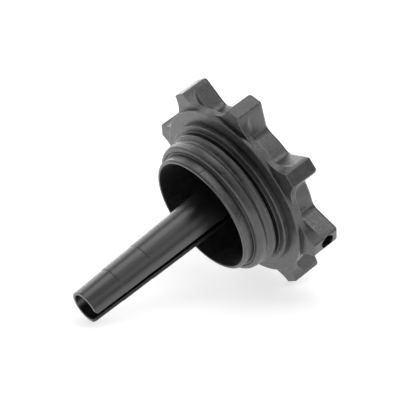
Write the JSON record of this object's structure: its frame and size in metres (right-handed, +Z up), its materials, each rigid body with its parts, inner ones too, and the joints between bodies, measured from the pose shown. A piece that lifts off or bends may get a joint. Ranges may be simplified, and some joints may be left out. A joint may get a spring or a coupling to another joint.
{
  "type": "power steering reservoir cap",
  "caption": "Star-grip plug cap with a ribbed rubber sleeve and gasket on a hollow neck, a vent pit in one lobe and a slotted tubular dipstick; closes a fluid reservoir's filler.",
  "frame": {"origin": "centre of the bounding box, at its base: the plane the cap lies on", "axes": "+X from the dipstick's tip to the head, +Z up. The cap's own axis runs from mouth to head along (0.9225, 0, 0.3859), 22.7 degrees above level, as the cap lies on two lobes and the dipstick's tip"},
  "size_m": [0.073, 0.0588, 0.0573],
  "materials": {
    "cap_plastic": "satin moulded plastic, dark grey",
    "seal_rubber": "satin black rubber",
    "gasket_rubber": "satin black rubber",
    "stick_plastic": "satin moulded plastic, dark grey"
  },
  "bodies": {
    "root": {"cap_body": "cap_plastic", "neck_seal": "seal_rubber", "flange_gasket": "gasket_rubber", "dipstick": "stick_plastic"}
  },
  "joints": []
}
